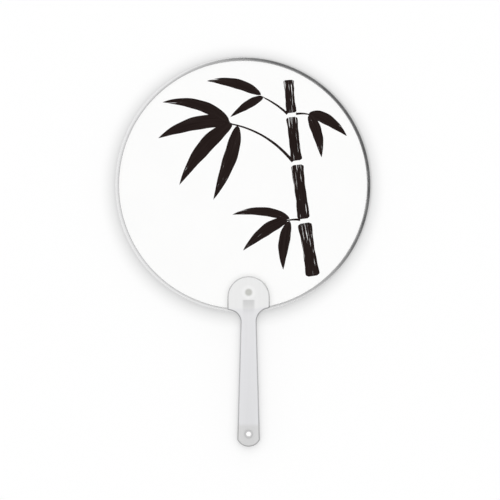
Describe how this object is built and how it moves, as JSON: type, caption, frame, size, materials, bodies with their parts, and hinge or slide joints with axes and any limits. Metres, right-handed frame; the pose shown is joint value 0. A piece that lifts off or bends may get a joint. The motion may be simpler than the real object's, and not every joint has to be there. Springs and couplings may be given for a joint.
{
  "type": "round uchiwa hand fan",
  "caption": "Flat round hand fan: paper faces on thin ribs in a slim plastic rim, held by a milky plastic handle with a half-round head and a hanging hole in its rounded end.",
  "frame": {"origin": "middle of the fan's length and width, on the plane that the back of the handle rests on", "axes": "+Y along the handle towards the blade, +Z out of the printed front face, +X to the right seen from the front"},
  "size_m": [0.2412, 0.3676, 0.0048],
  "materials": {
    "handle_plastic": "milky translucent polypropylene, finely frosted",
    "core_plastic": "milky polypropylene bar",
    "stud_plastic": "grey plastic pin",
    "eyelet_plastic": "grey moulded eyelet",
    "rim_plastic": "silver-toned moulded hoop, satin",
    "printed_paper": "smooth white coated paper with a dark print",
    "plain_paper": "smooth white coated paper",
    "rib_bamboo": "split bamboo"
  },
  "bodies": {
    "root": {"handle_front_shell": "handle_plastic", "handle_back_shell": "handle_plastic", "handle_core": "core_plastic", "head_stud": "stud_plastic", "hanging_eyelet": "eyelet_plastic", "rim_hoop": "rim_plastic", "front_sheet": "printed_paper", "back_sheet": "plain_paper", "rib_01": "rib_bamboo", "rib_02": "rib_bamboo", "rib_03": "rib_bamboo", "rib_04": "rib_bamboo", "rib_05": "rib_bamboo", "rib_06": "rib_bamboo", "rib_07": "rib_bamboo", "rib_08": "rib_bamboo", "rib_09": "rib_bamboo", "rib_10": "rib_bamboo", "rib_11": "rib_bamboo", "rib_12": "rib_bamboo", "rib_13": "rib_bamboo", "rib_14": "rib_bamboo", "rib_15": "rib_bamboo", "rib_16": "rib_bamboo", "rib_17": "rib_bamboo", "rib_18": "rib_bamboo", "rib_19": "rib_bamboo", "rib_20": "rib_bamboo", "rib_21": "rib_bamboo", "rib_22": "rib_bamboo", "rib_23": "rib_bamboo", "rib_24": "rib_bamboo", "rib_25": "rib_bamboo"}
  },
  "joints": []
}
